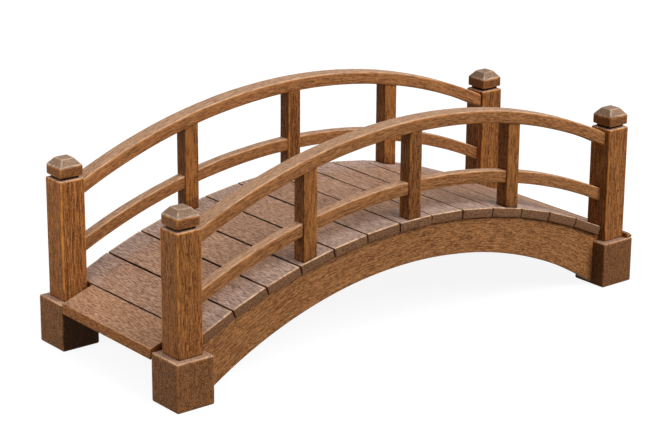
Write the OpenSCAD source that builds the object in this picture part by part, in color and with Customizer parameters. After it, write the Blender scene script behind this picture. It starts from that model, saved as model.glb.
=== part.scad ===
/* [Overall] */
// Distance between the post centres along the bridge
span = 1776; // [1400:4:2200]
// Distance between the post centres across the bridge
width = 628; // [500:2:900]

/* [Feet] */
// Side of the square foot block
foot_w = 136; // [120:2:160]
// Height of the foot block
foot_h = 157; // [140:1:170]
// Bevel on every edge of the foot block
foot_ease = 5; // [2:0.5:8]

/* [Posts] */
// Side of the square corner post
post_w = 89; // [80:1:100]
// Height of the post's top above the ground
post_top = 552; // [546:2:640]
// Bevel on the post's upright and top edges
post_ease = 5; // [2:0.5:10]

/* [Caps] */
// Side of the square neck under the cap
neck_w = 66; // [44:1:76]
// Height of the neck
neck_h = 9; // [6:1:24]
// Side of the cap's upright band
cap_w = 84; // [80:1:100]
// Height of the cap's upright band
cap_band_h = 32; // [16:1:40]
// Height of the cap's sloping top
cap_slope_h = 24; // [12:1:40]
// Side of the flat that is left on the cap's top
cap_flat_w = 44; // [20:1:60]
// Bevel on the cap's upright corners and under its band
cap_ease = 5; // [1:0.5:6]

/* [Deck] */
// Height of the deck's top at mid span
deck_crown = 405; // [370:1:440]
// Height of the deck's top where it meets the posts
deck_end = 205; // [195:1:230]
// Thickness of a deck board
board_t = 30; // [20:1:36]
// Number of boards between the posts
board_count = 13; // [9:2:17]
// Gap between the undersides of two boards
board_gap = 3; // [1:0.5:6]
// Bevel along a board's top edges
board_ease = 2; // [1:0.5:4]
// How far the boards reach past the stringers
deck_overhang = 12; // [8:1:24]

/* [End boards] */
// Upright thickness of the sloping board at each end
end_board_t = 35; // [24:1:40]
// Height of the end board's outer edge above the feet
end_board_rise = 9; // [4:1:16]
// Bevel on the end board's outer top edge
end_board_ease = 3; // [1:0.5:5]
// Gap between the posts and the horns of the notched end board
horn_gap = 2; // [1:0.5:4]

/* [Stringers] */
// Thickness of an arched stringer
stringer_t = 38; // [28:1:48]
// Height of the stringer's underside at mid span
stringer_crown = 257; // [220:1:280]
// Height of the stringer's underside where it meets the feet
stringer_end = 8; // [4:1:40]

/* [Railings] */
// How far the railings sit inside the post centres
rail_set_in = 4; // [0:1:12]
// Width of the handrail
handrail_w = 62; // [50:1:70]
// Depth of the handrail
handrail_t = 42; // [28:1:50]
// Height of the handrail's top at mid span
handrail_crown = 733; // [690:1:780]
// Height of the handrail's top where it meets the posts
handrail_end = 541; // [500:1:544]
// Bevel along the handrail's edges
handrail_ease = 4; // [2:0.5:6]
// Width of the middle rail
midrail_w = 38; // [26:1:42]
// Depth of the middle rail
midrail_t = 41; // [28:1:44]
// Height of the middle rail's top at mid span
midrail_crown = 528; // [500:1:560]
// Height of the middle rail's top where it meets the posts
midrail_end = 341; // [320:1:360]
// Bevel along the middle rail's edges
midrail_ease = 3; // [1:0.5:5]

/* [Balusters] */
// Number of balusters on each side
baluster_count = 3; // [1:2:5]
// Side of a square baluster
baluster_w = 50; // [46:1:60]
// Bevel on the baluster's upright edges
baluster_ease = 3; // [1:0.5:5]
// Clearance where a curved seat meets its neighbour
fit_gap = 0.2; // [0.1:0.05:0.3]

/* [Hidden] */
$fn = 360;
// Overrun of the shapes that cut
over = 2;

post_x = span / 2;
post_y = width / 2;
post_in_x = post_x - post_w / 2;
foot_in_x = post_x - foot_w / 2;
foot_out_x = post_x + foot_w / 2;
rail_y = post_y - rail_set_in;
deck_half_w = rail_y + stringer_t / 2 + deck_overhang;

// Radius of an arc from its rise over half its span
function arc_radius(rise, reach) = (reach * reach + rise * rise) / (2 * rise);

deck_r = arc_radius(deck_crown - deck_end, post_in_x);
deck_z = deck_crown - deck_r;
board_step = 2 * asin(post_in_x / deck_r) / board_count;
board_w = 2 * (deck_r - board_t) * tan(board_step / 2) - board_gap;
stringer_r = arc_radius(stringer_crown - stringer_end, foot_in_x);
handrail_r = arc_radius(handrail_crown - handrail_end, post_in_x);
midrail_r = arc_radius(midrail_crown - midrail_end, post_in_x);
baluster_pitch = 2 * post_in_x / (baluster_count + 1);
// Height of an end board's top at its outer face, and the slope of its top
end_out_z = foot_h + end_board_rise;
end_slope = (deck_end - end_out_z) / (foot_out_x - post_in_x);

ENDS = ["left", "right"];
SIDES = ["front", "back"];

// Left is towards -X and front is towards -Y
function end_sign(e) = e == "left" ? -1 : 1;
function side_sign(s) = s == "front" ? -1 : 1;
function baluster_x(i) = (i - (baluster_count + 1) / 2) * baluster_pitch;
function board_angle(i) = (i - (board_count + 1) / 2) * board_step;
// The angle of the board that lies under a place along the bridge
function board_angle_at(x) = round(asin(x / deck_r) / board_step) * board_step;

// A rectangle about the origin with bevelled corners
module eased_rect(w, h, ease) {
    polygon([
        [-w / 2 + ease, -h / 2],
        [w / 2 - ease, -h / 2],
        [w / 2, -h / 2 + ease],
        [w / 2, h / 2 - ease],
        [w / 2 - ease, h / 2],
        [-w / 2 + ease, h / 2],
        [-w / 2, h / 2 - ease],
        [-w / 2, -h / 2 + ease]
    ]);
}

// The upright profile of a block: its foot is sharp, its top edges are bevelled
module topped_profile(w, h, ease) {
    polygon([
        [-w / 2, 0],
        [w / 2, 0],
        [w / 2, h - ease],
        [w / 2 - ease, h],
        [-w / 2 + ease, h],
        [-w / 2, h - ease]
    ]);
}

// A profile in the XZ plane, drawn out along Y about its middle
module along_y(length) {
    rotate([90, 0, 0])
        linear_extrude(length, center = true)
            children();
}

// What is common to the same profile drawn out along X and along Y
module cut_on_four_sides(w) {
    intersection() {
        along_y(w)
            children();
        rotate([0, 0, 90])
            along_y(w)
                children();
    }
}

// A solid disc across the bridge, with its crown at a given height
module arch_disc(r, crown, w) {
    translate([0, 0, crown - r])
        rotate([90, 0, 0])
            cylinder(r = r, h = w, center = true);
}

// A bent bar of even section, turned about a level line across the bridge
module bent_bar(r, crown, w, t, ease) {
    translate([0, 0, crown - r])
        rotate([90, 0, 0])
            rotate_extrude()
                translate([r - t / 2, 0])
                    eased_rect(t, w, ease);
}

// A box that keeps only what lies between the posts and above a height
module between_posts(low, high, w) {
    translate([-post_in_x, -w / 2 - over, low])
        cube([2 * post_in_x, w + 2 * over, high - low]);
}

module at_corner(e, s) {
    translate([end_sign(e) * post_x, side_sign(s) * post_y, 0])
        children();
}

module at_side(s) {
    translate([0, side_sign(s) * rail_y, 0])
        children();
}

module foot(e, s) {
    color([0.42, 0.28, 0.16])
        at_corner(e, s)
            translate([0, 0, foot_h / 2])
                intersection() {
                    cut_on_four_sides(foot_w)
                        eased_rect(foot_w, foot_h, foot_ease);
                    linear_extrude(foot_h, center = true)
                        eased_rect(foot_w, foot_w, foot_ease);
                }
}

module post(e, s) {
    post_h = post_top - foot_h;
    color([0.53, 0.35, 0.19])
        at_corner(e, s)
            translate([0, 0, foot_h])
                intersection() {
                    cut_on_four_sides(post_w)
                        topped_profile(post_w, post_h, post_ease);
                    linear_extrude(post_h)
                        eased_rect(post_w, post_w, post_ease);
                }
}

// Neck, band and sloping top in one profile
module cap_profile() {
    band_low = neck_h + cap_ease;
    band_top = neck_h + cap_band_h;
    polygon([
        [-neck_w / 2, 0],
        [neck_w / 2, 0],
        [neck_w / 2, neck_h],
        [cap_w / 2 - cap_ease, neck_h],
        [cap_w / 2, band_low],
        [cap_w / 2, band_top],
        [cap_flat_w / 2, band_top + cap_slope_h],
        [-cap_flat_w / 2, band_top + cap_slope_h],
        [-cap_w / 2, band_top],
        [-cap_w / 2, band_low],
        [-cap_w / 2 + cap_ease, neck_h],
        [-neck_w / 2, neck_h]
    ]);
}

module cap(e, s) {
    color([0.45, 0.30, 0.18])
        at_corner(e, s)
            translate([0, 0, post_top])
                intersection() {
                    cut_on_four_sides(cap_w)
                        cap_profile();
                    linear_extrude(neck_h + cap_band_h + cap_slope_h)
                        eased_rect(cap_w, cap_w, cap_ease);
                }
}

// Arched beam under the deck, notched over the feet and butted to the posts
module stringer(s) {
    color([0.55, 0.36, 0.19])
        at_side(s)
            difference() {
                intersection() {
                    arch_disc(deck_r - board_t - fit_gap, deck_crown - board_t - fit_gap, stringer_t);
                    between_posts(0, deck_crown, stringer_t);
                }
                arch_disc(stringer_r, stringer_crown, stringer_t + 2 * over);
                for (e = ENDS)
                    translate([end_sign(e) * post_x, 0, foot_h / 2])
                        cube([foot_w, stringer_t + 2 * over, foot_h], center = true);
            }
}

module handrail(s) {
    color([0.56, 0.37, 0.20])
        at_side(s)
            intersection() {
                bent_bar(handrail_r, handrail_crown, handrail_w, handrail_t, handrail_ease);
                between_posts(handrail_end - 2 * handrail_t, handrail_crown + over, handrail_w);
            }
}

module midrail(s) {
    color([0.52, 0.34, 0.19])
        at_side(s)
            intersection() {
                bent_bar(midrail_r, midrail_crown, midrail_w, midrail_t, midrail_ease);
                between_posts(midrail_end - 2 * midrail_t, midrail_crown + over, midrail_w);
            }
}

// Upright that stands on one board, is mortised for the middle rail and scribed to the handrail
module baluster(s, i) {
    x = baluster_x(i);
    color([0.54, 0.35, 0.19])
        at_side(s)
            difference() {
                intersection() {
                    translate([x, 0, 0])
                        linear_extrude(handrail_crown)
                            eased_rect(baluster_w, baluster_w, baluster_ease);
                    arch_disc(handrail_r - handrail_t - fit_gap, handrail_crown - handrail_t - fit_gap, baluster_w);
                }
                translate([0, 0, deck_z])
                    rotate([0, board_angle_at(x), 0])
                        translate([-deck_r, -baluster_w, 0])
                            cube([2 * deck_r, 2 * baluster_w, deck_r]);
                bent_bar(
                    midrail_r + fit_gap,
                    midrail_crown + fit_gap,
                    midrail_w + 2 * fit_gap,
                    midrail_t + 2 * fit_gap,
                    midrail_ease
                );
            }
}

module deck_board(i) {
    color([0.50, 0.36, 0.25])
        translate([0, 0, deck_z])
            rotate([0, board_angle(i), 0])
                translate([0, 0, deck_r - board_t])
                    along_y(2 * deck_half_w)
                        topped_profile(board_w, board_t, board_ease);
}

// The outer top edge of an end board, bevelled
function end_edge() = [
    [foot_out_x, end_out_z - end_board_ease],
    [foot_out_x - end_board_ease, end_out_z + end_slope * end_board_ease]
];

// Sloping board that closes the deck between the two feet of one end.
// The right one is longer: past the posts its horns lie on the feet.
module end_board(e) {
    horn_x = post_x + post_w / 2 + horn_gap;
    color([0.50, 0.36, 0.25])
        mirror([e == "left" ? 1 : 0, 0, 0]) {
            along_y(width - foot_w)
                polygon(concat(
                    [[post_in_x, deck_end],
                    [post_in_x, deck_end - end_board_t],
                    [foot_out_x, end_out_z - end_board_t]],
                    end_edge()
                ));
            if (e == "right")
                along_y(width + foot_w - 2 * foot_ease)
                    polygon(concat(
                        [[horn_x, end_out_z + end_slope * (foot_out_x - horn_x)],
                        [horn_x, foot_h],
                        [foot_out_x, foot_h]],
                        end_edge()
                    ));
        }
}

for (e = ENDS, s = SIDES)
    foot(e, s);
for (e = ENDS, s = SIDES)
    post(e, s);
for (e = ENDS, s = SIDES)
    cap(e, s);
for (s = SIDES)
    stringer(s);
for (s = SIDES)
    handrail(s);
for (s = SIDES)
    midrail(s);
for (s = SIDES, i = [1:baluster_count])
    baluster(s, i);
for (i = [1:board_count])
    deck_board(i);
for (e = ENDS)
    end_board(e);
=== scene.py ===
"""An arched garden bridge in oiled hardwood: the looks of its timbers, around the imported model."""
import logging
import math
import random
from contextlib import contextmanager
from dataclasses import dataclass, replace
from enum import Enum, IntEnum
from typing import Callable, Iterator, Mapping, NamedTuple

import bmesh
import bpy
from bmesh.types import BMEdge, BMFace
from bpy.types import Light, Material, Mesh, Node, NodeSocket, Object, World
from mathutils import Matrix, Vector


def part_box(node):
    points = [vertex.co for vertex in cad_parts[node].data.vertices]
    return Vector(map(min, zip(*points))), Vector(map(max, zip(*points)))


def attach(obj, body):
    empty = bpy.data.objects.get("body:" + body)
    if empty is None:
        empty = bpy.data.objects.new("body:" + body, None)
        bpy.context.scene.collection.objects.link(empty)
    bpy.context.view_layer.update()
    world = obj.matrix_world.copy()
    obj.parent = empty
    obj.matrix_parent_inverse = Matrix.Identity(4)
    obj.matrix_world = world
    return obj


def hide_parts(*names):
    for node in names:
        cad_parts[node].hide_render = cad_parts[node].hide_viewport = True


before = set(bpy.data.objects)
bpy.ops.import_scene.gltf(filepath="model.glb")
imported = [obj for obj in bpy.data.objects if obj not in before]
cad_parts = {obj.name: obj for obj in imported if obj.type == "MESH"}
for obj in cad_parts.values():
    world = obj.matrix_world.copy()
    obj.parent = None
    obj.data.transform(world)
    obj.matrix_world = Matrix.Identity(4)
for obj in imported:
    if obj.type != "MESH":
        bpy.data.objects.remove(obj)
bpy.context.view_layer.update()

BODY = "root"
GRAIN = "grain"
WEAR_AND_SHADE = "wear"
UP = Vector((0.0, 0.0, 1.0))
SIGNS = (-1, 1)

# In metres: places this close count as one, and points this close are welded.
TOUCH = 1e-4
WELD = 1e-5
# How closely an edge has to run along an axis, and a face to look along it.
ALONG = 0.99
FACING = 0.9
# Angles between faces: rounded over the first, shaded smooth under the second, worn at the third.
SHARP = math.radians(30.0)
SMOOTH = math.radians(45.0)
FULLY_WORN = math.radians(20.0)
# How far, in metres, the log that a timber is sawn from reaches to each side.
LOG_REACH = 30.0
# Where most values of a noise lie, and where the dark lines, the body and the pale lines do.
MIDDLE = (0.3, 0.7)
GRAIN_STOPS = (0.34, 0.5, 0.66)
# A range's inputs, and the numbers of a mix's colour sockets, whose names repeat.
RANGE = ("Value", "From Min", "From Max", "To Min", "To Max")
MIX_UNDER, MIX_OVER, MIX_RESULT = 6, 7, 2

log = logging.getLogger("moon_bridge")

Colour = tuple[int, int, int]
Limits = tuple[float, float]
Triple = tuple[float, float, float]
Place = Callable[[Vector], Vector]
Spot = Callable[[Vector], bool]
Depth = Callable[[Vector], float]


class End(Enum):
    """The two ends of the bridge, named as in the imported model."""

    LEFT = "left"
    RIGHT = "right"


class Side(Enum):
    """The two sides of the bridge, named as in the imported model."""

    FRONT = "front"
    BACK = "back"


class Element(Enum):
    """What an edit-mode selection is made of."""

    VERTS = "VERT"
    EDGES = "EDGE"
    FACES = "FACE"


class Axis(IntEnum):
    """The axes of the bridge: along it, across it and up."""

    X = 0
    Y = 1
    Z = 2


@dataclass(frozen=True)
class Arc:
    """A level-topped arc in the XZ plane, given by its crown and its height at the ends."""

    crown: float
    end: float
    reach: float

    @property
    def radius(self) -> float:
        """Radius from the rise over half the span."""
        rise = self.crown - self.end
        return (self.reach**2 + rise**2) / (2 * rise)

    @property
    def centre(self) -> Vector:
        """Centre of the arc, under mid span."""
        return Vector((0.0, 0.0, self.crown - self.radius))

    @property
    def sweep(self) -> float:
        """The angle from the crown to either end, in radians."""
        return math.asin(self.reach / self.radius)

    def height(self, x: float) -> float:
        """Height of the arc at a place along the bridge."""
        return self.centre.z + math.sqrt(self.radius**2 - x**2)

    def slope(self, x: float) -> Vector:
        """Direction away from the arc's centre, at a place along the bridge."""
        return (Vector((x, 0.0, self.height(x))) - self.centre).normalized()

    def lowered(self, depth: float) -> "Arc":
        """The arc about the same centre that runs evenly under this one."""
        end = self.centre.z + math.sqrt((self.radius - depth) ** 2 - self.reach**2)
        return Arc(self.crown - depth, end, self.reach)


def linear(colour: Colour) -> tuple[float, ...]:
    """Turn a display colour, from 0 to 255, into linear light with full alpha."""
    shares = [c / 255 for c in colour]
    return *(s / 12.92 if s <= 0.04045 else ((s + 0.055) / 1.055) ** 2.4 for s in shares), 1.0


def choose(piece: Object) -> None:
    """Select one piece, and no other, and make it active.

    Args:
        piece: The piece.
    """
    bpy.ops.object.select_all(action="DESELECT")
    bpy.context.view_layer.objects.active = piece
    piece.select_set(True)


def settle(piece: Object) -> None:
    """Choose a piece, and move its place, turn and scale into its mesh."""
    choose(piece)
    bpy.ops.object.transform_apply()


@contextmanager
def editing(piece: Object) -> Iterator[None]:
    """Hold one piece, and no other, in edit mode.

    Args:
        piece: The piece.

    Returns:
        A context that goes back to object mode at its end.
    """
    choose(piece)
    bpy.ops.object.mode_set(mode="EDIT")
    yield
    bpy.ops.object.mode_set(mode="OBJECT")


def pick(element: Element, test: Callable[..., bool]) -> None:
    """Select the verts, edges or faces of the edited piece that pass a test.

    Args:
        element: What the selection is made of.
        test: Takes one vert, edge or face and says whether it is wanted.
    """
    bpy.ops.mesh.select_mode(type=element.value)
    bpy.ops.mesh.select_all(action="DESELECT")
    data = bpy.context.edit_object.data
    mesh = bmesh.from_edit_mesh(data)
    mesh.normal_update()
    found = {Element.VERTS: mesh.verts, Element.EDGES: mesh.edges, Element.FACES: mesh.faces}
    for part in found[element]:
        if test(part):
            part.select_set(True)
    mesh.select_flush_mode()
    bmesh.update_edit_mesh(data)


def shift(*step: float) -> None:
    """Move what is selected along X, Y and Z."""
    bpy.ops.transform.translate(value=step)


def draw_out(*step: float) -> None:
    """Extrude the selected faces along X, Y and Z."""
    bpy.ops.mesh.extrude_region_move(TRANSFORM_OT_translate={"value": step})


def saw(point: Vector, outward: Vector, waste: bool = True) -> None:
    """Saw the edited piece along a plane.

    Args:
        point: A point of the plane.
        outward: The plane's normal.
        waste: Whether what lies outward is taken off and the cut closed.
    """
    bpy.ops.mesh.select_mode(type=Element.FACES.value)
    bpy.ops.mesh.select_all(action="SELECT")
    bpy.ops.mesh.bisect(plane_co=point, plane_no=outward, clear_outer=waste, use_fill=waste)


def add_block(name: str, low: Vector, high: Vector) -> Object:
    """Add a squared timber that fills a box.

    Args:
        name: Name of the new piece.
        low: The box's lowest corner.
        high: The box's highest corner.

    Returns:
        The new piece, with its place in its mesh.
    """
    bpy.ops.object.select_all(action="DESELECT")
    bpy.ops.mesh.primitive_cube_add(size=1.0, location=(low + high) / 2)
    piece = bpy.context.object
    piece.name = piece.data.name = name
    piece.scale = high - low
    settle(piece)
    return piece


def divide_along(axis: Axis, cuts: int) -> None:
    """Cut the edges of the edited piece that run along an axis, so many times each."""
    pick(
        Element.EDGES,
        lambda edge: abs((edge.verts[1].co - edge.verts[0].co).normalized()[axis]) > ALONG,
    )
    bpy.ops.mesh.subdivide(number_cuts=cuts)


def round_edges(radius: float, where: Spot = lambda point: True, steps: int = 3) -> None:
    """Round sharp outer edges of the edited piece.

    Args:
        radius: How far the rounding reaches from the edge.
        where: Says by an edge's middle whether the edge is rounded.
        steps: How many steps the rounding has.
    """

    def wanted(edge: BMEdge) -> bool:
        """Whether an edge is sharp, points outward and lies in the right place."""
        outer = edge.is_manifold and edge.is_convex and edge.calc_face_angle() > SHARP
        return outer and where((edge.verts[0].co + edge.verts[1].co) / 2)

    pick(Element.EDGES, wanted)
    bpy.ops.mesh.bevel(offset=radius, segments=steps, clamp_overlap=True)


def rim_flats(least: float, margin: float) -> None:
    """Set a margin inside each face of the edited piece that has no side under the least."""
    pick(Element.FACES, lambda face: min(edge.calc_length() for edge in face.edges) > least)
    bpy.ops.mesh.inset(thickness=margin)


def ease(radius: float, margin: float) -> None:
    """Round all sharp edges of the edited piece and set a margin inside each of its flats."""
    round_edges(radius)
    rim_flats(radius, margin)


def note_wear_and_shade(mesh: Mesh, exposed: Spot, painted_shade_and_dirt: Depth) -> None:
    """Write how rounded the surface is at each point, where hands and weather rub it first, and how
    deep painted shade lies on it.

    Args:
        mesh: The finished mesh.
        exposed: Says whether a place on the piece is rubbed at all.
        painted_shade_and_dirt: Says how deep in painted shade a place lies, from 0 to 1, and in the
            deck's seams also dirt: written below zero.
    """
    shape = bmesh.new()
    shape.from_mesh(mesh)
    shape.normal_update()
    values = []
    for vert in shape.verts:
        edges = [edge for edge in vert.link_edges if edge.is_manifold and edge.is_convex]
        turn = max((edge.calc_face_angle(0.0) for edge in edges), default=0.0)
        rubbed = min(1.0, turn / FULLY_WORN) if exposed(vert.co) else 0.0
        # Painted shade, and the dirt in the deck's seams, go below zero; rubbed edges go above.
        values.append(-painted_shade_and_dirt(vert.co) or rubbed)
    shape.free()
    mesh.attributes.new(WEAR_AND_SHADE, "FLOAT", "POINT").data.foreach_set("value", values)


def lay_grain(mesh: Mesh, name: str, timber: Place) -> None:
    """Write each point's place in its own log, so that the fibres follow the timber.

    Args:
        mesh: The finished mesh.
        name: The piece's name, which picks where in the log it was sawn.
        timber: Turns a point of the bridge into across, depth and along the fibres.
    """
    draw = random.Random(name)
    sawn_at = Vector([draw.uniform(-LOG_REACH, LOG_REACH) for _ in Axis])
    flat: list[float] = []
    for vert in mesh.vertices:
        flat.extend(timber(vert.co) + sawn_at)
    mesh.attributes.new(GRAIN, "FLOAT_VECTOR", "POINT").data.foreach_set("vector", flat)


def upright(point: Vector) -> Vector:
    """Fibres that run up and down."""
    return point.xyz


def crosswise(point: Vector) -> Vector:
    """Fibres that run across the bridge."""
    return point.xzy


def lengthwise(point: Vector) -> Vector:
    """Fibres that run along the bridge."""
    return point.yzx


def bent_along(arc: Arc) -> Place:
    """Fibres that follow an arc.

    Args:
        arc: The arc that the timber is bent to.

    Returns:
        A function that unrolls the arc.
    """

    def unroll(point: Vector) -> Vector:
        """Height over the arc, place across the bridge, and distance along the arc."""
        spoke = (point - arc.centre).xz
        return Vector((spoke.length - arc.radius, point.y, math.atan2(*spoke) * arc.radius))

    return unroll


@dataclass(frozen=True)
class Layer:
    """A layer of noise: lumps to a metre, their length over width, and the finer layers in it."""

    per_metre: float
    stretch: float = 1.0
    detail: float = 2.0
    rough: float = 0.5

    def counted_in(self, other: "Layer") -> "Layer":
        """This layer, with its sizes counted in the lumps of another one."""
        sizes = self.per_metre * other.per_metre, self.stretch * other.stretch
        return Layer(*sizes, self.detail, self.rough)


# The first two are counted in fibres.
STREAKS = Layer(0.45, 2.5, 1.0)
PORES = Layer(0.9, 0.625, 1.0)
PLANKS = Layer(0.35, detail=0.0)
BLOTCHES = Layer(11.0)
SPECKS = Layer(1 / 0.0034, 4.0, 0.0)
END_GRAIN = Layer(260.0, rough=0.6)
SCUFFS = Layer(70.0, 1 / 0.3, 3.0, 0.6)


class Tones(NamedTuple):
    """The colours of a timber's faces: the dark lines, the body and the pale lines."""

    dark: Colour
    body: Colour
    pale: Colour


class Palette:
    """Builds a material or a sky from nodes, with short names for the few kinds needed."""

    def __init__(self, owner: Material | World) -> None:
        """Start with an empty tree.

        Args:
            owner: What the nodes are for.
        """
        owner.use_nodes = True
        self.tree = owner.node_tree
        self.tree.nodes.clear()

    def node(self, kind: str, fed: Mapping | None = None, **settings: object) -> Node:
        """Add a node.

        Args:
            kind: Blender's name of its kind.
            fed: An output to link, or a value to set, for inputs by their names or numbers.
            **settings: The node's own settings.

        Returns:
            The new node.
        """
        node = self.tree.nodes.new(f"ShaderNode{kind}")
        for key, value in settings.items():
            setattr(node, key, value)
        for key, value in (fed or {}).items():
            if isinstance(value, NodeSocket):
                self.tree.links.new(value, node.inputs[key])
            else:
                node.inputs[key].default_value = value
        return node

    def attribute(self, name: str, output: str) -> NodeSocket:
        """Read one of the mesh's own attributes."""
        return self.node("Attribute", attribute_name=name).outputs[output]

    def noise(self, vector: NodeSocket, layer: Layer) -> NodeSocket:
        """Add one layer of noise.

        Args:
            vector: Where it is read; the third axis runs along its lumps.
            layer: What it is like.

        Returns:
            A value about one half.
        """
        scale = (1.0, 1.0, 1.0 / layer.stretch)
        place = self.node("Mapping", {"Vector": vector, "Scale": scale}).outputs["Vector"]
        fed = {"Vector": place, "Scale": layer.per_metre, "Detail": layer.detail}
        return self.node("TexNoise", {**fed, "Roughness": layer.rough}).outputs["Fac"]

    def ramp(self, value: NodeSocket, tones: Tones) -> NodeSocket:
        """Turn a value into a colour of the grain.

        Args:
            value: A value about one half.
            tones: The colours that it picks from.

        Returns:
            The colour.
        """
        node = self.node("ValToRGB", {"Fac": value})
        stops = node.color_ramp.elements
        stops.new(1.0)
        for stop, position, colour in zip(stops, GRAIN_STOPS, tones):
            stop.position = position
            stop.color = linear(colour)
        return node.outputs["Color"]

    def spread(
        self, value: NodeSocket, limits: Limits, to: Limits = (0.0, 1.0), form: str = "SMOOTHSTEP"
    ) -> NodeSocket:
        """Spread the range between two limits over another one, in one of Blender's forms."""
        fed = dict(zip(RANGE, (value, *limits, *to)))
        return self.node("MapRange", fed, interpolation_type=form).outputs["Result"]

    def sums(
        self, operation: str, first: object, second: object = 0.0, clamp: bool = False
    ) -> NodeSocket:
        """Combine two values by one of Blender's sums."""
        node = self.node("Math", {0: first, 1: second}, operation=operation, use_clamp=clamp)
        return node.outputs["Value"]

    def mix(self, share: object, under: object, over: object, blend: str = "MIX") -> NodeSocket:
        """Lay one colour over another by a share, in one of Blender's ways."""
        fed = {"Factor": share, MIX_UNDER: under, MIX_OVER: over}
        return self.node("Mix", fed, data_type="RGBA", blend_type=blend).outputs[MIX_RESULT]

    def part(self, vector: NodeSocket, axis: Axis) -> NodeSocket:
        """One axis's part of a vector."""
        return self.node("SeparateXYZ", {"Vector": vector}).outputs[axis]

    def facing(self, axis: Axis) -> NodeSocket:
        """How squarely the surface faces along an axis of the bridge."""
        return self.part(self.node("NewGeometry").outputs["Normal"], axis)

    def aside(self, axis: Axis) -> NodeSocket:
        """How far a point lies from the middle of the bridge along an axis."""
        return self.sums("ABSOLUTE", self.part(self.node("TexCoord").outputs["Object"], axis))

    def grey(self, value: NodeSocket) -> NodeSocket:
        """Turn one value into an even grey."""
        return self.node("CombineColor", {0: value, 1: value, 2: value}).outputs["Color"]

    def show(self, shader: NodeSocket, owner: str = "Material") -> None:
        """Make a shader the surface of its owner, of this kind."""
        self.node(f"Output{owner}", {"Surface": shader})


@dataclass(frozen=True)
class Grain:
    """The grain of a timber: its fibres, the wider streaks in them and the short flecks."""

    fibre: float = 0.0018
    stretch: float = 24.0
    streak_depth: float = 0.06
    fleck: float = 0.0028
    fleck_depth: float = 0.1
    fleck_stretch: float = 3.0
    fleck_rough: float = 0.6

    @property
    def fibres(self) -> Layer:
        """The layer of its fibres."""
        return Layer(1.0 / self.fibre, self.stretch)

    def figure(self, palette: Palette, timber: NodeSocket, fibres: NodeSocket) -> NodeSocket:
        """Draw the streaks and the flecks through the fibres.

        Args:
            palette: Where the nodes go.
            timber: The place in the timber.
            fibres: The fibres' noise.

        Returns:
            A value about one half.
        """
        flecks = Layer(1.0 / self.fleck, self.fleck_stretch, rough=self.fleck_rough)
        streaks = STREAKS.counted_in(self.fibres)
        figure = fibres
        for layer, depth in ((streaks, self.streak_depth), (flecks, self.fleck_depth)):
            lines = palette.spread(palette.noise(timber, layer), MIDDLE, (-depth, depth))
            figure = palette.sums("ADD", figure, lines)
        return figure


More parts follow.
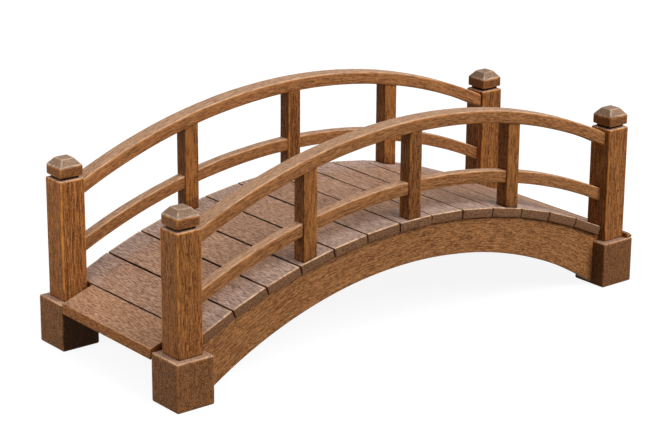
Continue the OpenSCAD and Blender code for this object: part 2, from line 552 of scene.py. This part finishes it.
@dataclass(frozen=True)
class WoodFinish:
    """Oiled hardwood left outside: fibres, darker pores, bleached tops, rubbed edges and painted
    shade in recesses.
    """

    name: str
    slot: str
    side: Tones = Tones((82, 46, 21), (126, 76, 38), (174, 115, 62))
    top: Tones = Tones((118, 84, 66), (163, 124, 99), (196, 158, 132))
    unwalked: Tones = Tones((122, 95, 82), (168, 138, 121), (204, 174, 158))
    rubbed: Colour = (192, 126, 62)
    rubbed_top: Colour = (222, 182, 148)
    end_dark: Colour = (90, 58, 37)
    end_pale: Colour = (138, 101, 72)
    # Painted shade in recesses and where parts meet, and dirt in the deck's seams.
    shade_and_seam_dirt: Colour = (34, 20, 11)
    grain: Grain = Grain()
    speck_from: Limits = (0.58, 0.7)
    speck_share: float = 0.4
    pore_from: Limits = (0.58, 0.68)
    pore_share: float = 0.3
    pore_depth: float = 0.5
    bleach_from: Limits = (0.45, 0.85)
    blotch_depth: float = 0.12
    plank_tone: Limits = (0.94, 1.06)
    scuff_from: Limits = (0.32, 0.62)
    rubbed_from: float = 0.6
    rubbed_share: float = 0.6
    # Where the mark below zero turns into that painted shade.
    shade_from: Limits = (-0.9, -0.1)
    ends_show: bool = False
    end_from: Limits = (0.6, 0.85)
    end_grain_from: Limits = (0.4, 0.62)
    unwalked_from: Limits = (0.18, 0.3)
    relief: float = 0.0012
    relief_share: float = 0.6
    roughness: Limits = (0.68, 0.52)
    gloss: float = 0.1

    @property
    def material_name(self) -> str:
        """Name of the finish's own material."""
        return f"{self.name}_oiled"

    def build(self) -> Material:
        """Build the finish.

        Returns:
            A material that reads the timber's own fibre direction, its exposed edges and where shade
            is painted on it.
        """
        material = bpy.data.materials.new(self.material_name)
        palette = Palette(material)
        mix, noise, spread, sums = palette.mix, palette.noise, palette.spread, palette.sums
        timber = palette.attribute(GRAIN, "Vector")
        # The mark: rubbed edges above zero, painted shade below it.
        edge = palette.attribute(WEAR_AND_SHADE, "Fac")
        fibres = noise(timber, self.grain.fibres)
        figure = self.grain.figure(palette, timber, fibres)
        specks = spread(noise(timber, SPECKS), self.speck_from, (0.0, self.speck_share))
        side, top = (
            mix(specks, palette.ramp(figure, tones), linear(tones.pale))
            for tones in (self.side, self.top)
        )
        depth = self.blotch_depth
        blotches = spread(noise(timber, BLOTCHES), MIDDLE, (-depth, depth))
        bleach = spread(sums("ADD", palette.facing(Axis.Z), blotches), self.bleach_from)
        scuffs = spread(noise(timber, SCUFFS), self.scuff_from)
        rub = sums("MULTIPLY", spread(edge, (self.rubbed_from, 1.0)), scuffs)
        if self.ends_show:
            unwalked = spread(palette.aside(Axis.Y), self.unwalked_from)
            top = mix(unwalked, top, palette.ramp(figure, self.unwalked))
        colour = mix(bleach, side, top)
        if self.ends_show:
            end_face = spread(sums("ABSOLUTE", palette.facing(Axis.Y)), self.end_from)
            speckle = spread(noise(timber, END_GRAIN), self.end_grain_from)
            rings = mix(speckle, linear(self.end_dark), linear(self.end_pale))
            colour = mix(end_face, colour, rings)
            rub = sums("MULTIPLY", rub, spread(end_face, (0.0, 1.0), (1.0, 0.0)))

        pores = noise(timber, PORES.counted_in(self.grain.fibres))
        pores = spread(pores, self.pore_from, (0.0, self.pore_share))
        colour = mix(pores, colour, linear(self.side.dark), "MULTIPLY")
        tone = spread(noise(timber, PLANKS), MIDDLE, self.plank_tone)
        colour = mix(1.0, colour, palette.grey(tone), "MULTIPLY")
        bare = mix(bleach, linear(self.rubbed), linear(self.rubbed_top))
        colour = mix(sums("MULTIPLY", rub, self.rubbed_share), colour, bare)
        # Paint the shade, and the dirt in the deck's seams, where the mark is below zero.
        colour = mix(spread(edge, self.shade_from, (1.0, 0.0)), colour, linear(self.shade_and_seam_dirt))

        height = sums("SUBTRACT", fibres, sums("MULTIPLY", pores, self.pore_depth))
        bump = {"Height": height, "Distance": self.relief, "Strength": self.relief_share}
        wood = {
            "Base Color": colour,
            "Roughness": spread(fibres, MIDDLE, self.roughness),
            "Specular IOR Level": self.gloss,
            "Normal": palette.node("Bump", bump).outputs["Normal"],
        }
        palette.show(palette.node("BsdfPrincipled", wood).outputs["BSDF"])
        return material


class Finish(Enum):
    """The finishes of the bridge, one for each kind of timber."""

    FOOT = WoodFinish(
        "foot",
        "foot_wood",
        Tones((72, 42, 20), (105, 66, 36), (153, 103, 63)),
        rubbed=(172, 114, 66),
        grain=Grain(0.0024, 1.5, fleck_depth=0.18, fleck_stretch=1.2),
        relief=0.002,
    )
    POST = WoodFinish("post", "post_wood", rubbed=(200, 128, 56), rubbed_share=1.0)
    CAP = WoodFinish(
        "cap",
        "cap_wood",
        Tones((74, 43, 21), (112, 69, 37), (152, 100, 58)),
        Tones((116, 90, 72), (141, 113, 92), (164, 135, 112)),
        rubbed_top=(212, 182, 158),
        rubbed_share=0.7,
        grain=Grain(stretch=2.0, fleck_depth=0.04),
        bleach_from=(0.2, 0.5),
    )
    STRINGER = WoodFinish(
        "stringer",
        "stringer_wood",
        Tones((94, 57, 30), (136, 88, 49), (188, 132, 83)),
        grain=Grain(0.0013, 22.0, 0.03, 0.002, 0.13, 6.0),
    )
    HANDRAIL = WoodFinish(
        "handrail",
        "rail_wood",
        Tones((110, 69, 38), (146, 94, 55), (178, 124, 77)),
        Tones((136, 100, 76), (176, 134, 100), (206, 166, 134)),
        grain=Grain(stretch=18.0, streak_depth=0.04, fleck_stretch=5.0),
    )
    MIDRAIL = replace(
        HANDRAIL, name="midrail", side=Tones((102, 64, 35), (136, 88, 51), (167, 116, 72))
    )
    BALUSTER = WoodFinish(
        "baluster",
        "baluster_wood",
        Tones((75, 42, 19), (115, 68, 34), (160, 105, 56)),
        rubbed_share=0.95,
    )
    END_BOARD = WoodFinish(
        "end_board",
        "deck_wood",
        top=Tones((114, 80, 58), (158, 116, 87), (192, 150, 118)),
        grain=Grain(0.0017, 14.0, 0.03, 0.0026, fleck_stretch=8.0),
    )
    DECK = WoodFinish(
        "deck",
        "deck_wood",
        rubbed_top=(236, 198, 160),
        rubbed_from=0.1,
        rubbed_share=1.0,
        grain=END_BOARD.grain,
        ends_show=True,
    )

    @property
    def slot(self) -> str:
        """The record's slot that this finish belongs to."""
        return self.value.slot

    def material(self) -> Material:
        """The finish's material, built the first time that it is asked for."""
        return bpy.data.materials.get(self.value.material_name) or self.value.build()


@dataclass(kw_only=True)
class Timberwork:
    """What every sub-assembly does with a piece that it has shaped."""

    margin: float = 0.009
    waviness: float = 0.0012
    wave_length: float = 0.16
    wave_layers: int = 2

    def weather(self, piece: Object) -> None:
        """Give a piece the slight unevenness of planed timber that has dried outside.

        Args:
            piece: The shaped piece.
        """
        name = "weathering"
        waves = bpy.data.textures.get(name) or bpy.data.textures.new(name, "CLOUDS")
        waves.noise_scale = self.wave_length
        waves.noise_depth = self.wave_layers
        choose(piece)
        modifier = piece.modifiers.new(name, "DISPLACE")
        modifier.texture = waves
        modifier.texture_coords = "LOCAL"
        modifier.strength = self.waviness
        bpy.ops.object.modifier_apply(modifier=name)

    def dress(
        self,
        piece: Object,
        node: str,
        finish: Finish,
        timber: Place,
        exposed: Spot = lambda point: True,
        painted_shade_and_dirt: Depth = lambda point: 0.0,
    ) -> None:
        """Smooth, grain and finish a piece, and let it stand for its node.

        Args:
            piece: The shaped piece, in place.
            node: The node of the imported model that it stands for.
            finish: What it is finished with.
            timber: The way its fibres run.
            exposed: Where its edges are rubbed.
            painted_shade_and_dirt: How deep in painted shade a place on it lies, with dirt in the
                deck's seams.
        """
        self.weather(piece)
        bpy.ops.object.shade_smooth_by_angle(angle=SMOOTH)
        note_wear_and_shade(piece.data, exposed, painted_shade_and_dirt)
        lay_grain(piece.data, node, timber)
        piece.data.materials.clear()
        piece.data.materials.append(finish.material())
        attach(piece, BODY)
        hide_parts(node)
        finish.slot
        log.info("%s: %d faces", piece.name, len(piece.data.polygons))


@dataclass(kw_only=True)
class CornerPost(Timberwork):
    """A corner of the bridge: a square foot, a post on it and a cap on the post."""

    end: End
    side: Side
    # How dark the painted shade on each foot's inner face is, under the end board.
    inner_face_shade: float = 0.6
    foot_round: float = 0.006
    foot_cuts: int = 2
    post_round: float = 0.005
    post_cuts: int = 9
    cap_round: float = 0.005
    ridge_round: float = 0.0025
    ridge_steps: int = 2
    neck_w: float = 0.066
    neck_h: float = 0.009
    neck_shade: float = 0.002
    band_h: float = 0.032
    flat_w: float = 0.044

    def node(self, part: str) -> str:
        """Name of this corner's node for a part."""
        return f"{part}_{self.end.value}_{self.side.value}"

    def build(self) -> None:
        """Build and dress the foot, the post and the cap."""
        self.build_foot()
        self.build_post()
        self.build_cap()

    def square(self, node: str, radius: float, cuts: int) -> Object:
        """Shape a squared timber with eased edges.

        Args:
            node: The node whose box it fills.
            radius: Rounding of its edges.
            cuts: How many times its height is divided.

        Returns:
            The shaped piece.
        """
        piece = add_block(f"{node}_timber", *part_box(node))
        with editing(piece):
            ease(radius, self.margin)
            divide_along(Axis.Z, cuts)
        return piece

    def build_foot(self) -> None:
        """Shape the foot block, with well rounded edges and painted shade on its inner face."""
        node = self.node("foot")
        low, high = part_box(node)
        inner = high.y if self.side is Side.FRONT else low.y
        near = self.foot_round / 2
        self.dress(
            self.square(node, self.foot_round, self.foot_cuts),
            node,
            Finish.FOOT,
            upright,
            # Painted shade on the inner face, which lies under the end board.
            painted_shade_and_dirt=lambda point: self.inner_face_shade if abs(point.y - inner) < near else 0.0,
        )

    def build_post(self) -> None:
        """Shape the post, with its upright edges rubbed round and painted shade round its base."""
        node = self.node("post")
        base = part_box(node)[0].z
        self.dress(
            self.square(node, self.post_round, self.post_cuts),
            node,
            Finish.POST,
            upright,
            lambda point: point.z > base + 2 * self.post_round,
            # Painted shade where the post stands on the foot.
            lambda point: float(point.z < base + self.post_round / 2),
        )

    def build_cap(self) -> None:
        """Shape the cap: a band, a low pyramid cut flat on top, and a neck under it."""
        node = self.node("cap")
        low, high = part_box(node)
        width = high.x - low.x
        band_low = low.z + self.neck_h
        band_top = band_low + self.band_h
        rims_top = band_top + self.cap_round / 2
        ridges = (band_top + high.z) / 2 - self.cap_round
        corners = Vector((*low.xy, band_low)), Vector((*high.xy, band_top))
        piece = add_block(f"{node}_timber", *corners)
        with editing(piece):
            pick(Element.FACES, lambda face: face.normal.z > FACING)
            bpy.ops.mesh.inset(thickness=(width - self.flat_w) / 2, depth=high.z - band_top)
            pick(Element.FACES, lambda face: face.normal.z < -FACING)
            bpy.ops.mesh.inset(thickness=(width - self.neck_w) / 2)
            draw_out(0.0, 0.0, -self.neck_h)
            round_edges(self.cap_round, lambda point: point.z < rims_top)
            round_edges(self.ridge_round, lambda point: point.z > ridges, self.ridge_steps)
            rim_flats(self.cap_round, self.margin / 2)
        middle = (low + high) / 2
        under = band_low + self.cap_round / 2
        reach = self.neck_w / 2 + self.neck_shade

        # The neck's recess is painted in shade.
        def in_neck_shade(point: Vector) -> float:
            """Whether a place lies on the neck or close round it, where shade is painted."""
            aside = max(map(abs, (point - middle).xy))
            return float(point.z < under and aside < reach)

        self.dress(piece, node, Finish.CAP, lengthwise, painted_shade_and_dirt=in_neck_shade)


@dataclass(kw_only=True)
class Deck(Timberwork):
    """The walkway: boards laid side by side over the arch, and a sloping board at each end."""

    count: int = 13
    end_height: float = 0.205
    board_round: float = 0.002
    board_cuts: int = 11
    worn_round: float = 0.0045
    worn_steps: int = 4
    rubbed_end: float = 0.02
    # How dark the painted shade and dirt are in the seams near the boards' ends.
    outer_seam_shade_and_dirt: float = 0.45
    end_board_rise: float = 0.009
    end_board_depth: float = 0.035
    end_board_cuts: int = 5
    end_gap: float = 0.002
    horn_gap: float = 0.002
    length_play: float = 0.0015
    height_play: float = 0.0006

    @property
    def crown_board(self) -> tuple[Vector, Vector]:
        """The box of the level board in the middle."""
        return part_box(f"deck_board_{(self.count + 1) // 2}")

    @property
    def arc(self) -> Arc:
        """The arc of the boards' tops, between the posts."""
        return Arc(self.crown_board[1].z, self.end_height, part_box("handrail_front")[1].x)

    @property
    def step(self) -> float:
        """The angle from one board to the next, in radians."""
        return 2 * self.arc.sweep / self.count

    def build(self) -> None:
        """Build one level board, copy it round the arch, and add the end boards."""
        pattern = self.build_pattern()
        middle = (self.count + 1) / 2
        for number in range(1, self.count + 1):
            self.lay_board(pattern, number, (number - middle) * self.step)
        bpy.data.objects.remove(pattern)
        for end in End:
            self.build_end_board(end)

    def build_pattern(self) -> Object:
        """Shape the level board that the others are copied from.

        Returns:
            The board at the crown of the arch, not yet dressed.
        """
        low, high = self.crown_board
        pattern = add_block("board_pattern", low, high)

        def over_end(point: Vector) -> bool:
            """Whether a place is the middle of an upper edge at the board's end."""
            return high.z - point.z < TOUCH and abs(point.x) < TOUCH

        with editing(pattern):
            round_edges(self.worn_round, over_end, self.worn_steps)
            ease(self.board_round, self.margin)
            divide_along(Axis.Y, self.board_cuts)
        return pattern

    def lay_board(self, pattern: Object, number: int, tilt: float) -> None:
        """Copy the pattern to its place on the arch.

        Args:
            pattern: The level board.
            number: The board's number from the left.
            tilt: Its angle from the crown, in radians.
        """
        node = f"deck_board_{number}"
        draw = random.Random(node)
        board = pattern.copy()
        board.data = pattern.data.copy()
        board.name = f"{node}_timber"
        bpy.context.scene.collection.objects.link(board)
        play = self.length_play
        longer = 1.0 + draw.uniform(-play, play) * 2 / self.arc.reach
        moved = Vector((0.0, draw.uniform(-play, play), draw.uniform(-1, 0) * self.height_play))
        centre = Matrix.Translation(self.arc.centre)
        about = centre @ Matrix.Rotation(tilt, 4, "Y") @ centre.inverted()
        lie = Matrix.Translation(moved) @ Matrix.Diagonal((1.0, longer, 1.0, 1.0))
        board.matrix_world = about @ lie
        settle(board)
        level = about.inverted()
        shade_from = self.crown_board[1].x - self.board_round / 2
        end_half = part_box("foot_left_back")[0].y
        rubbed_from = max(abs(corner.y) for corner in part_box(node)) - self.rubbed_end

        # Painted shade, with dirt, on the boards' sides in the seams.
        def seam_shade_and_dirt(point: Vector) -> float:
            """How deep a place lies against the next board or an end board, for painted shade and
            dirt between the boards.

            Args:
                point: The place.

            Returns:
                Its depth, from 0 to 1.
            """
            across = (level @ point).x
            if abs(across) < shade_from:
                return 0.0
            if abs(point.y) < end_half:
                return 1.0
            outermost = not 1 <= number + math.copysign(1, across) <= self.count
            return 0.0 if outermost else self.outer_seam_shade_and_dirt

        self.dress(
            board,
            node,
            Finish.DECK,
            lambda point: crosswise(level @ point),
            lambda point: abs(point.y) > rubbed_from,
            seam_shade_and_dirt,
        )

    def build_end_board(self, end: End) -> None:
        """Shape the sloping board at one end, with horns over the feet at the right end.

        Args:
            end: Which end of the bridge.
        """
        node = f"end_board_{end.value}"
        low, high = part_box(node)
        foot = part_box(f"foot_{end.value}_front")[1]
        outer = high.x if end is End.RIGHT else low.x
        half = -foot.y - self.end_gap
        drop = high.z - foot.z - self.end_board_rise
        under = Vector((low.x, -half, high.z - self.end_board_depth))
        piece = add_block(f"{node}_timber", under, Vector((high.x, half, high.z)))
        with editing(piece):
            pick(Element.VERTS, lambda vert: abs(vert.co.x - outer) < self.margin)
            shift(0.0, 0.0, -drop)
            if end is End.RIGHT:
                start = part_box("post_right_front")[1].x + self.horn_gap
                self.add_horns(Vector((start, 0.0, foot.z)), high.y - half)
            ease(self.board_round, self.margin)
            divide_along(Axis.Y, self.end_board_cuts)

        # The end board's ends, against the feet, are painted in shade.
        def in_shade_at_foot(point: Vector) -> float:
            """Whether a place lies against a foot, where shade is painted."""
            beside = abs(point.y) > half - self.board_round / 2
            return float(beside and point.z < foot.z - self.margin)

        self.dress(piece, node, Finish.END_BOARD, crosswise, painted_shade_and_dirt=in_shade_at_foot)

    def add_horns(self, root: Vector, length: float) -> None:
        """Draw the outer strip of the edited end board out over both feet.

        Args:
            root: Where along the bridge the horns begin, and the height of the feet's tops.
            length: How far the horns reach.
        """
        saw(root, Vector((1.0, 0.0, 0.0)), False)
        saw(root, UP, False)
        for sign in SIGNS:

            def on_horn(face: BMFace) -> bool:
                """Whether a face is the root of this horn."""
                middle = face.calc_center_median()
                return face.normal.y * sign > FACING and middle.x > root.x and middle.z > root.z

            pick(Element.FACES, on_horn)
            draw_out(0.0, sign * length, 0.0)


@dataclass(kw_only=True)
class Arch(Timberwork):
    """The two arched stringers that carry the deck from foot to foot."""

    deck_arc: Arc
    board_depth: float = 0.03
    crown: float = 0.257
    end_height: float = 0.008
    stations: int = 48
    edge_round: float = 0.004

    def build(self) -> None:
        """Build and dress both stringers."""
        for side in Side:
            self.build_stringer(side)

    def build_stringer(self, side: Side) -> None:
        """Shape one stringer: a plank drawn to two arcs, with its ends notched over the feet.

        Args:
            side: Which side of the bridge.
        """
        node = f"stringer_{side.value}"
        low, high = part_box(node)
        foot_low, foot_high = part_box(f"foot_right_{side.value}")
        seat = Vector((foot_low.x, 0.0, foot_high.z))
        over = self.deck_arc.lowered(self.board_depth)
        under = Arc(self.crown, self.end_height, seat.x)
        corners = Vector((-seat.x, low.y, 0.0)), Vector((seat.x, high.y, 1.0))
        piece = add_block(f"{node}_timber", *corners)
        with editing(piece):
            divide_along(Axis.X, self.stations - 1)
            self.draw_to_arcs(over, under)
            for sign in SIGNS:
                self.notch_end(sign, seat, high.x, over)
            ease(self.edge_round, self.margin)
        self.dress(piece, node, Finish.STRINGER, bent_along(under))

    def draw_to_arcs(self, over: Arc, under: Arc) -> None:
        """Move the edges of the edited plank to their arcs, one station at a time.

        Args:
            over: The arc of its top, which is at a height of 1 so far.
            under: The arc of its underside, which is at 0.
        """
        near = self.edge_round
        for station in range(self.stations + 1):
            x = under.reach * (2 * station / self.stations - 1)
            for level, arc in ((0.0, under), (1.0, over)):
                pick(
                    Element.VERTS,
                    lambda vert: abs(vert.co.x - x) < near and abs(vert.co.z - level) < TOUCH,
                )
                shift(0.0, 0.0, arc.height(x) - level)

    def notch_end(self, sign: int, seat: Vector, stop: float, over: Arc) -> None:
        """Draw the upper part of the edited plank's end out over the foot, as far as the post.

        Args:
            sign: Which end, along X.
            seat: Where the foot begins, and the height of its top.
            stop: Where the post begins.
            over: The arc of the plank's top.
        """

        def at_end(face: BMFace) -> bool:
            """Whether a face closes this end."""
            return face.normal.x * sign > ALONG

        pick(Element.FACES, at_end)
        bpy.ops.mesh.bisect(plane_co=(sign * seat.x, 0.0, seat.z), plane_no=UP)
        pick(Element.FACES, lambda face: at_end(face) and face.calc_center_median().z > seat.z)
        draw_out(sign * (stop - seat.x), 0.0, 0.0)
        start, top = seat.x + TOUCH, seat.z + TOUCH
        pick(Element.VERTS, lambda vert: vert.co.x * sign > start and vert.co.z > top)
        shift(0.0, 0.0, over.height(stop) - over.height(seat.x))


@dataclass(kw_only=True)
class Railing(Timberwork):
    """One side's railing: a bent handrail, a bent middle rail and the balusters between."""

    side: Side
    deck: Deck
    handrail_depth: float = 0.042
    handrail_end: float = 0.541
    handrail_round: float = 0.006
    midrail_depth: float = 0.041
    midrail_end: float = 0.341
    midrail_round: float = 0.0045
    spin_steps: int = 48
    baluster_count: int = 3
    baluster_round: float = 0.0045
    baluster_cuts: int = 6
    # How dark the painted shade at each baluster's foot is.
    baluster_damp: float = 0.5

    def build(self) -> None:
        """Build and dress the rails, then the balusters between them."""
        depth = self.handrail_depth
        handrail = self.build_rail(Finish.HANDRAIL, depth, self.handrail_end, self.handrail_round)
        self.build_rail(Finish.MIDRAIL, self.midrail_depth, self.midrail_end, self.midrail_round)
        for number in range(1, self.baluster_count + 1):
            self.build_baluster(number, handrail.lowered(depth))

    def build_rail(self, finish: Finish, depth: float, end_height: float, radius: float) -> Arc:
        """Shape a bent rail: its section spun round the arc, and its ends drawn to the posts.

        Args:
            finish: The rail's finish, which has its name.
            depth: The rail's depth.
            end_height: Height of its top at the posts.
            radius: Rounding of its edges.

        Returns:
            The arc of the rail's top.
        """
        node = f"{finish.value.name}_{self.side.value}"
        low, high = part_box(node)
        arc = Arc(high.z, end_height, high.x)
        about = {"center": arc.centre, "axis": (0.0, 1.0, 0.0)}
        bpy.ops.object.select_all(action="DESELECT")
        bpy.ops.mesh.primitive_plane_add(size=1.0, rotation=(0.0, math.pi / 2, 0.0))
        piece = bpy.context.object
        piece.name = f"{node}_timber"
        settle(piece)
        with editing(piece):
            bpy.ops.mesh.select_all(action="SELECT")
            bpy.ops.transform.resize(value=(1.0, high.y - low.y, depth))
            shift(0.0, (low.y + high.y) / 2, arc.crown - depth / 2)
            bpy.ops.transform.rotate(value=arc.sweep, orient_axis="Y", center_override=arc.centre)
            bpy.ops.mesh.spin(steps=self.spin_steps, angle=-2 * arc.sweep, **about)
            bpy.ops.mesh.select_all(action="SELECT")
            bpy.ops.mesh.remove_doubles(threshold=WELD)
            bpy.ops.mesh.normals_make_consistent()
            for sign in SIGNS:
                self.square_end(sign, arc, arc.lowered(depth))
            ease(radius, self.margin)
        self.dress(piece, node, finish, bent_along(arc))
        return arc

    def square_end(self, sign: int, over: Arc, under: Arc) -> None:
        """Draw the lower corners of the edited rail's end out, so that it stands upright.

        Args:
            sign: Which end, along X.
            over: The arc of the rail's top.
            under: The arc of its underside.
        """
        spoke = Vector((math.sin(over.sweep), 0.0, math.cos(over.sweep)))
        x, _, z = under.centre + spoke * under.radius
        near = self.margin / 2
        pick(
            Element.VERTS,
            lambda vert: abs(vert.co.x * sign - x) < near and abs(vert.co.z - z) < near,
        )
        shift(sign * (over.reach - x), 0.0, under.height(over.reach) - z)

    def build_baluster(self, number: int, under: Arc) -> None:
        """Shape a baluster: squared, and sawn to the board under it and the handrail over it.

        Args:
            number: Its number from the left.
            under: The arc of the handrail's underside.
        """
        node = f"baluster_{self.side.value}_{number}"
        low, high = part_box(node)
        x = (low.x + high.x) / 2
        deck = self.deck.arc
        tilt = round(math.asin(x / deck.radius) / self.deck.step) * self.deck.step
        board_up = Vector((math.sin(tilt), 0.0, math.cos(tilt)))
        seat = deck.centre + board_up * deck.radius
        piece = add_block(f"{node}_timber", low, high)
        with editing(piece):
            saw(Vector((x, 0.0, under.height(x))), under.slope(x))
            saw(seat, -board_up)
            ease(self.baluster_round, self.margin)
            divide_along(Axis.Z, self.baluster_cuts)

        def over_board(point: Vector) -> float:
            """How far a place lies over the board, counted in roundings."""
            return (point - seat).dot(board_up) / self.baluster_round

        self.dress(
            piece,
            node,
            Finish.BALUSTER,
            upright,
            lambda point: over_board(point) > 2.0,
            # Painted shade where the baluster stands on the board.
            lambda point: self.baluster_damp if over_board(point) < 0.5 else 0.0,
        )


@dataclass(frozen=True)
class Viewpoint:
    """A camera given by its place, its direction and its focal length in image pixels."""

    place: Triple = (-4.356, -5.299, 2.590)
    azimuth_deg: float = 38.79
    tilt_deg: float = 71.72
    roll_deg: float = 0.36
    focal_px: float = 2195.3
    image_px: int = 650
    sensor_mm: float = 36.0
    sight: float = 200.0

    def set_up(self) -> None:
        """Create the camera, turn it from looking straight down, and make it the scene's own."""
        data = bpy.data.cameras.new("viewpoint")
        data.sensor_fit = "HORIZONTAL"
        data.sensor_width = self.sensor_mm
        data.lens = self.focal_px * self.sensor_mm / self.image_px
        data.clip_end = self.sight
        view = Matrix.Translation(self.place)
        turns = (-self.azimuth_deg, "Z"), (self.tilt_deg, "X"), (self.roll_deg, "Z")
        for degrees, axis in turns:
            view = view @ Matrix.Rotation(math.radians(degrees), 4, axis)
        camera = bpy.data.objects.new("viewpoint", data)
        camera.matrix_world = view
        bpy.context.scene.collection.objects.link(camera)
        bpy.context.scene.camera = camera


@dataclass(frozen=True)
class Studio:
    """A pale floor under an overhead sky, a soft lamp in front and a small one at the left."""

    floor_span: float = 60.0
    floor_colour: Colour = (110, 110, 110)
    floor_lift: float = 0.9
    sky: Limits = (0.03, 0.9)
    sky_steepness: float = 2.0
    key_level: float = 3.0
    key_spread_deg: float = 40.0
    key_from: Triple = (0.3, -0.7, 0.65)
    end_level: float = 5.8
    end_size: Limits = (1.0, 0.5)
    end_place: Triple = (-1.8, 0.1, 0.6)
    end_aim: Triple = (-0.93, 0.0, 0.35)

    def set_up(self) -> None:
        """Lay the floor, hang the lamps and set the view."""
        self.lay_floor()
        self.hang_lamps()
        self.set_sky()
        bpy.context.scene.view_settings.view_transform = "Standard"

    def lay_floor(self) -> None:
        """Lay a floor that looks white and still takes the bridge's shadow."""
        bpy.ops.object.select_all(action="DESELECT")
        bpy.ops.mesh.primitive_plane_add(size=self.floor_span)
        floor = bpy.context.object
        floor.name = "studio_floor"
        material = bpy.data.materials.new("floor_paint")
        palette = Palette(material)
        paint = palette.node("BsdfDiffuse", {"Color": linear(self.floor_colour)}).outputs["BSDF"]
        lift = self.seen_directly(palette, self.floor_lift)
        glow = palette.node("Emission", {"Strength": lift}).outputs["Emission"]
        palette.show(palette.node("AddShader", {0: paint, 1: glow}).outputs["Shader"])
        floor.data.materials.append(material)

    @staticmethod
    def seen_directly(palette: Palette, level: float) -> NodeSocket:
        """A level that only the camera's and the mirrored rays see.

        Args:
            palette: Where the nodes go.
            level: The level.

        Returns:
            A socket that holds the level for such rays, and zero for the others.
        """
        rays = palette.node("LightPath").outputs
        seen = rays["Is Camera Ray"]
        for ray in ("Is Glossy Ray", "Is Transmission Ray"):
            seen = palette.sums("MAXIMUM", seen, rays[ray])
        return palette.sums("MULTIPLY", seen, level)

    def hang_lamps(self) -> None:
        """Hang the soft main lamp over the front, and a small one before the left posts."""
        key = bpy.data.lights.new("key_lamp", "SUN")
        key.energy = self.key_level
        key.angle = math.radians(self.key_spread_deg)
        self.hang(key, Vector(self.key_from), Vector())
        end = bpy.data.lights.new("end_lamp", "AREA")
        end.energy = self.end_level
        end.shape = "RECTANGLE"
        end.size, end.size_y = self.end_size
        self.hang(end, Vector(self.end_place), Vector(self.end_aim)).visible_camera = False

    @staticmethod
    def hang(data: Light, place: Vector, aim: Vector) -> Object:
        """Hang a lamp.

        Args:
            data: What it shines like.
            place: Where it hangs.
            aim: What it shines at.

        Returns:
            The lamp.
        """
        lamp = bpy.data.objects.new(data.name, data)
        lamp.location = place
        lamp.rotation_euler = (place - aim).to_track_quat("Z", "Y").to_euler()
        bpy.context.scene.collection.objects.link(lamp)
        return lamp

    def set_sky(self) -> None:
        """Set a sky that is brightest overhead, and looks white behind the floor."""
        world = bpy.context.scene.world or bpy.data.worlds.new("sky")
        bpy.context.scene.world = world
        palette = Palette(world)
        height = palette.part(palette.node("TexCoord").outputs["Generated"], Axis.Z)
        steep = palette.sums("POWER", height, self.sky_steepness, clamp=True)
        dome = palette.spread(steep, (0.0, 1.0), self.sky, "LINEAR")
        level = palette.sums("MAXIMUM", self.seen_directly(palette, 1.0), dome)
        white = linear((255, 255, 255))
        sky = palette.node("Background", {"Color": white, "Strength": level})
        palette.show(sky.outputs["Background"], "World")


def main() -> None:
    """Build the bridge's sub-assemblies in order, then the studio."""
    logging.basicConfig(level=logging.INFO, format="%(name)s %(message)s")
    Viewpoint().set_up()
    for end in End:
        for side in Side:
            CornerPost(end=end, side=side).build()
    deck = Deck()
    deck.build()
    Arch(deck_arc=deck.arc).build()
    for side in Side:
        Railing(side=side, deck=deck).build()
    Studio().set_up()


if __name__ == "__main__":
    main()
